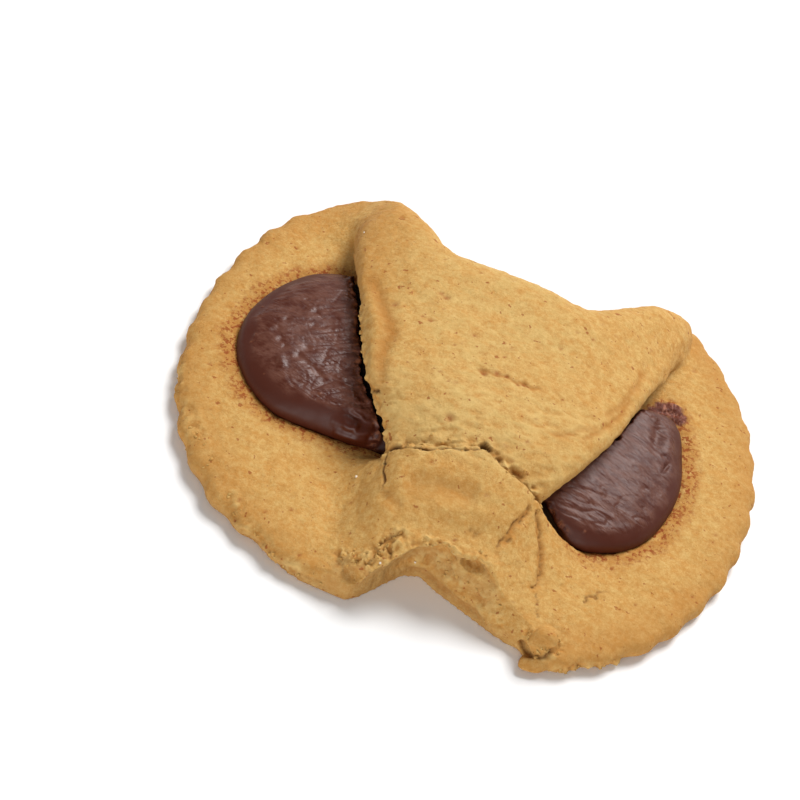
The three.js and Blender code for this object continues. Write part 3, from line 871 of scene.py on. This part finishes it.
# Ridges and valleys near the right end's far side
RIGHT_POOL_VALLEY = [(22.6, 9, 6.4), (23.2, 5, 6.8), (23.4, 2, 6.8)]
RIGHT_POOL_RIDGE = [(24.4, 8.4, 6.2), (24.8, 6, 6.3), (25.2, 3.4, 6.3)]
RIGHT_POOL_CREASE = [(25.4, 0.4, 6.3), (25.6, 1.9, 6.2), (25.9, 3.2, 6)]
RIGHT_POOL_HOOK = [(21.3, 8.4, 6.9), (22, 8.8, 6.7), (22.6, 8.2, 6.7)]
cream_fold(RIGHT_POOL_VALLEY, 0.8, -0.4)
cream_fold(RIGHT_POOL_RIDGE, 0.8, 0.3)
cream_fold(RIGHT_POOL_CREASE, 0.3, -0.35)
cream_fold(RIGHT_POOL_HOOK, 0.3, 0.3)

# %% The cream sinks where the flaps stand off it
BORDER_LEFT = [(-9.8, -13.4), (-11.4, -11.3), (-13.6, -9.2), (-15.4, -6.3), (-16.8, -3),
               (-17.8, 0), (-18.6, 2.5), (-19.8, 5.6), (-21, 8.5), (-22.2, 12)]
BORDER_RIGHT = [(12, -13), (12.9, -10), (14.4, -7), (16, -3.5), (17.1, -0.9), (18.1, 2.5),
                (18.8, 6), (19.8, 9)]


def inside_border(border, sign):
    """How far points lie under a flap, from its border. The border runs along the y axis."""
    x_of_border = np.interp(pool[:, 1], [y for _, y in border], [x for x, _ in border])
    torn = 0.5 * bumps(pool, 1.6, 71) + 0.3 * bumps(pool, 0.7, 73)
    return sign * (pool[:, 0] - x_of_border) + torn


under_left = inside_border(BORDER_LEFT, 1)
under_right = inside_border(BORDER_RIGHT, -1)
# The gap is sunk, and later painted near black as painted shade under the flaps' borders
gap = np.minimum(rise(under_left, -0.4, 0.1), rise(under_right, -0.4, 0.1))
gap *= 0.3 + 0.7 * np.maximum(rise(pool[:, 1], -13.4, -11.6), rise(pool[:, 0], 0, 2))
rusty = np.maximum(rise(under_left, -1.5, -0.8) * (pool[:, 0] < 0), 0) * (1 - gap)
pool += cream_out * (0.3 * rusty * bumps(pool, 0.9, 75))[:, None]
pool[:, 2] -= 1.2 * gap
dull = np.maximum(0.52 - dragged * (0.15 - 0.12 * on_right), gap)
dripping = np.linalg.norm(pool - np.array(DRIP_MIDDLE), axis=1)
dull = np.maximum(dull - 0.13 * (1 - rise(dripping, 1, 3.6)), gap)

# %% Bits of hazelnut in the smooth margin
NUT_BITS = [(-30.2, -6.4, 5.7), (-28.9, -8, 6), (-26.9, -10.9, 5.9), (-31, 0.3, 5.5),
            (-19.3, -11.6, 7.2), (-30.1, -5.2, 5.9), (18.6, -13.9, 5.5), (21.6, -12, 5.9),
            (26.1, -2.9, 5.5)]
for place in NUT_BITS:
    distance = np.linalg.norm(pool - nearest_on(cream_surface, place), axis=1)
    bit = np.exp(-((distance / 0.17) ** 2))
    rusty = np.maximum(rusty, bit)
    pool += cream_out * (0.1 * bit)[:, None]

# %% The right pool's near end is torn, with a gap round it that is painted dark as shade
NEAR_END = [(12.6, -13.4, 6.4), (13.4, -14, 5.9), (14.4, -14.5, 5.4), (15.4, -15, 4.9),
            (16.5, -15.2, 4.5), (17.6, -15.4, 4.2)]
near, distance, place = near_line(pool, line_on(cream_surface, NEAR_END, ragged=0.5, seed=3), 2)
fading = 1 - rise(place, 0.5, 1)
dark = fading * (1 - rise(distance, 0.3, 0.7))
gap[near] = np.maximum(gap[near], dark)
pool[near] -= cream_out[near] * (0.5 * dark)[:, None]
torn = fading * rise(distance, 0.4, 0.8) * (1 - rise(distance, 1.1, 1.7))
rusty[near] = np.maximum(rusty[near], torn)
pool[near] += cream_out[near] * (0.35 * rusty[near] * bumps(pool[near], 0.8, 77))[:, None]

keep_paint(cream, {"gap": gap, "dragged": dragged, "dull": dull, "rusty": rusty})
CREAM_FOOT = 3
pool[:, 2] = np.maximum(pool[:, 2], CREAM_FOOT)
set_points(cream, pool)

# %% [markdown]
# ## The cream's material
# Chocolate cream is dark and satin. Its sheen is broken: smooth at the margin, rougher where it
# was dragged. So the roughness comes from noise, and fine marks go into the bump. Where the top
# faces up it is painted a lighter cocoa, partly bloom and partly painted sheen.

# %% The cream's colours
CHOCOLATE = (0.07, 0.012, 0.0035)
COCOA_AND_SHEEN = (0.13, 0.046, 0.028)
RUSTY_CREAM = (0.2, 0.065, 0.028)
GAP_SHADE_BROWN = (0.012, 0.004, 0.003)

satin, tree, shader = new_material("satin_chocolate_cream")
patches = ramp_of(tree, noise_of(tree, 1.2, 5, 0.7, stretch=(1.8, 1, 1)), "Fac", 0.35, 0.65)
# Lighter cocoa on the top that faces up: partly bloom, partly painted sheen
bloom_and_sheen = times(tree, painted(tree, "dragged"), "Fac", patches, "Result")
colour = tint(tree, CHOCOLATE, bloom_and_sheen, "Value", COCOA_AND_SHEEN)
flecks = ramp_of(tree, noise_of(tree, 0.7, 3, 0.6), "Fac", 0.45, 0.6)
bits = times(tree, painted(tree, "rusty"), "Fac", flecks, "Result")
colour = tint(tree, colour, bits, "Value", RUSTY_CREAM)
# Painted shade in the gap under the flaps' borders
colour = tint(tree, colour, painted(tree, "gap"), "Fac", GAP_SHADE_BROWN)
tree.links.new(colour.outputs[2], shader.inputs["Base Color"])

# %% The cream's sheen
uneven = tree.nodes.new("ShaderNodeMapRange")
uneven.inputs["To Min"].default_value = 0.7
uneven.inputs["To Max"].default_value = 1.3
link(tree, noise_of(tree, 1.6, 4), "Fac", uneven, "Value")
roughness = times(tree, painted(tree, "dull"), "Fac", uneven, "Result")
link(tree, roughness, "Value", shader, "Roughness")
shader.inputs["Specular IOR Level"].default_value = 0.32

fine_marks = noise_of(tree, 0.42, 3, 0.6, stretch=(3, 0.9, 1), turn=STRETCH_RIGHT)
dragged_marks = times(tree, painted(tree, "dragged"), "Fac", fine_marks, "Fac")
bump = tree.nodes.new("ShaderNodeBump")
bump.inputs["Strength"].default_value = 1
bump.inputs["Distance"].default_value = 0.12 * MM
link(tree, dragged_marks, "Value", bump, "Height")
link(tree, bump, "Normal", shader, "Normal")

cream.data.materials.clear()
cream.data.materials.append(satin)
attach(cream, "root")
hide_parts("hazelnut_cream")

# %% [markdown]
# ## Crumbs and sugar
# Where the dough is torn, crumbs still hang on, and a few grains of sugar glitter on the front.
# They are separate pieces, since remeshing would melt such small things together. Each crumb is
# a ball of a few dozen faces, shaken out of shape and sunk into what it lies on.

# %% Crumbs on the torn dough
crumb_dice = random.Random(23)
dough_surface = surface_of(dough)


def add_crumb(bm, surface, place, size):
    """Adds one crumb, sunk into the surface and never below the floor."""
    nearest, normal, _, _ = surface.find_nearest(Vector(place) * MM)
    made = bmesh.ops.create_uvsphere(bm, u_segments=8, v_segments=5, radius=size * MM)
    shift = Vector(crumb_dice.uniform(0, 50) for _ in range(3))
    flat = Matrix.Diagonal((1, crumb_dice.uniform(0.6, 0.9), crumb_dice.uniform(0.5, 0.7)))
    spin = Matrix.Rotation(crumb_dice.uniform(0, 6.28), 3, "Z")
    tip = normal.to_track_quat("Z", "Y").to_matrix() @ spin
    for v in made["verts"]:
        lumpy = 1 + 0.9 * noise.noise(v.co / (size * MM) * 1.1 + shift)
        v.co = tip @ (flat @ v.co * lumpy) + nearest + normal * (0.15 * size * MM)
        v.co.z = max(v.co.z, 0)


# Each line with its number of crumbs and how far they lie beside it, in mm
CRUMB_PLACES = ((SEAM, 34, 1.5), (TORN_BORDER, 16, 0.8), (LIP, 26, 0.9), (FRINGE, 18, 0.9),
                (HOLLOW_RIM, 12, 0.7), (KNOB_RIM, 20, 1.2), (FRONT_WALL, 16, 2), (CRUMBLY_RIM, 60, 0.9),
                (CRUMBLY_FOOT, 18, 0.6))
bm = bmesh.new()
for stations, count, spread in CRUMB_PLACES:
    for _ in range(count):
        k = crumb_dice.randrange(len(stations) - 1)
        place = Vector(stations[k]).lerp(Vector(stations[k + 1]), crumb_dice.random())
        place += Vector(crumb_dice.gauss(0, 0.5 * spread) for _ in range(3))
        add_crumb(bm, dough_surface, place, crumb_dice.uniform(0.1, 0.3))
print("crumbs have", len(bm.faces), "faces")


def piece_from(bm, name, material):
    """Makes a piece of the loose dough out of a finished mesh."""
    for face in bm.faces:
        face.smooth = True
    mesh = bpy.data.meshes.new(name)
    bm.to_mesh(mesh)
    bm.free()
    mesh.materials.append(material)
    piece = bpy.data.objects.new(name, mesh)
    bpy.context.scene.collection.objects.link(piece)
    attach(piece, "root")


crumbly, tree, shader = new_material("crumbly_shortcrust")
shader.inputs["Roughness"].default_value = 0.85
shader.inputs["Specular IOR Level"].default_value = 0.16
paler = ramp_of(tree, noise_of(tree, 0.8, 4, 0.7), "Fac", 0.4, 0.6)
colour = tint(tree, GOLDEN, paler, "Result", STRAW)
tree.links.new(colour.outputs[2], shader.inputs["Base Color"])
piece_from(bm, "loose_crumbs", crumbly)

# %% Grains of sugar
SUGAR = [(-3.6, -33.6, 6.4), (0.4, -27.7, 2.6), (-9.5, -21, 4.5), (-23.3, 16.8, 10.1)]
bm = bmesh.new()
for place in SUGAR:
    nearest, normal, _, _ = dough_surface.find_nearest(Vector(place) * MM)
    cube = bmesh.ops.create_cube(bm, size=crumb_dice.uniform(0.2, 0.28) * MM)["verts"]
    tipped = Matrix.Rotation(crumb_dice.uniform(0, 1.5), 3, "X")
    spun = Matrix.Rotation(crumb_dice.uniform(0, 1.5), 3, "Z")
    for v in cube:
        v.co = tipped @ spun @ v.co + nearest + normal * 0.08 * MM
bmesh.ops.bevel(bm, geom=list(bm.edges), offset=0.05 * MM, segments=1, profile=0.5,
                affect="EDGES", material=-1)
glassy, tree, shader = new_material("sugar")
shader.inputs["Base Color"].default_value = (0.8, 0.7, 0.55, 1)
shader.inputs["Roughness"].default_value = 0.25
piece_from(bm, "sugar_grains", glassy)

# %% [markdown]
# ## Floor, light and camera
# The floor is plain and pale. One large soft light stands behind the biscuit and a little to the
# right, so the cream's top mirrors it and the short fold's front lies in shade. A bright sky
# fills the shadows.

# %% Floor
bm = bmesh.new()
FLOOR_HALF_WIDTH = 3  # metres
bmesh.ops.create_grid(bm, x_segments=1, y_segments=1, size=FLOOR_HALF_WIDTH)
floor_mesh = bpy.data.meshes.new("floor")
bm.to_mesh(floor_mesh)
bm.free()
floor = bpy.data.objects.new("floor", floor_mesh)
bpy.context.scene.collection.objects.link(floor)
pale, tree, shader = new_material("pale_floor")
shader.inputs["Base Color"].default_value = (0.93, 0.93, 0.93, 1)
shader.inputs["Roughness"].default_value = 0.9
floor.data.materials.append(pale)

# %% Light
world = bpy.data.worlds.new("studio")
world.use_nodes = True
sky = world.node_tree.nodes["Background"]
sky.inputs["Color"].default_value = (1, 1, 1, 1)
sky.inputs["Strength"].default_value = 0.25
bpy.context.scene.world = world


def soft_light(name, place, size, energy):
    """A square light of that size, turned to the biscuit."""
    light = bpy.data.lights.new(name, "AREA")
    light.shape = "SQUARE"
    light.size = size
    light.energy = energy
    lamp = bpy.data.objects.new(name, light)
    turn = Vector(place).to_track_quat("Z", "Y").to_matrix().to_4x4()
    lamp.matrix_world = Matrix.Translation(place) @ turn
    bpy.context.scene.collection.objects.link(lamp)


soft_light("high_light_behind", (0.22, 0.75, 0.95), size=0.6, energy=18.6)
soft_light("low_light_in_front", (-0.1, -1.2, 0.3), size=0.8, energy=9.5)
bpy.context.scene.view_settings.view_transform = "Standard"

# %% Camera
PIXELS_PER_MM = 7.58  # at the biscuit's origin, in a picture 800 pixels wide
ORIGIN_IN_PICTURE = (467.84, 431.89)
CAMERA_DISTANCE = 450
CAMERA_HEIGHT = math.radians(44.7)
CAMERA_ROLL = math.radians(23.3)
PICTURE_WIDTH = 800

backward = Vector((0, -math.cos(CAMERA_HEIGHT), math.sin(CAMERA_HEIGHT)))
upright = Vector((0, math.sin(CAMERA_HEIGHT), math.cos(CAMERA_HEIGHT)))
sideways = Vector((1, 0, 0))
to_right = sideways * math.cos(CAMERA_ROLL) + upright * math.sin(CAMERA_ROLL)
to_top = upright * math.cos(CAMERA_ROLL) - sideways * math.sin(CAMERA_ROLL)

camera_data = bpy.data.cameras.new("camera")
camera_data.sensor_width = 36
camera_data.lens = PIXELS_PER_MM * CAMERA_DISTANCE / PICTURE_WIDTH * camera_data.sensor_width
camera_data.shift_x = (PICTURE_WIDTH / 2 - ORIGIN_IN_PICTURE[0]) / PICTURE_WIDTH
camera_data.shift_y = (ORIGIN_IN_PICTURE[1] - PICTURE_WIDTH / 2) / PICTURE_WIDTH
camera = bpy.data.objects.new("camera", camera_data)
turn = Matrix((to_right, to_top, backward)).transposed().to_4x4()
camera.matrix_world = Matrix.Translation(backward * CAMERA_DISTANCE * MM) @ turn
bpy.context.scene.collection.objects.link(camera)
bpy.context.scene.camera = camera
print("lens", round(camera_data.lens, 1), "mm")
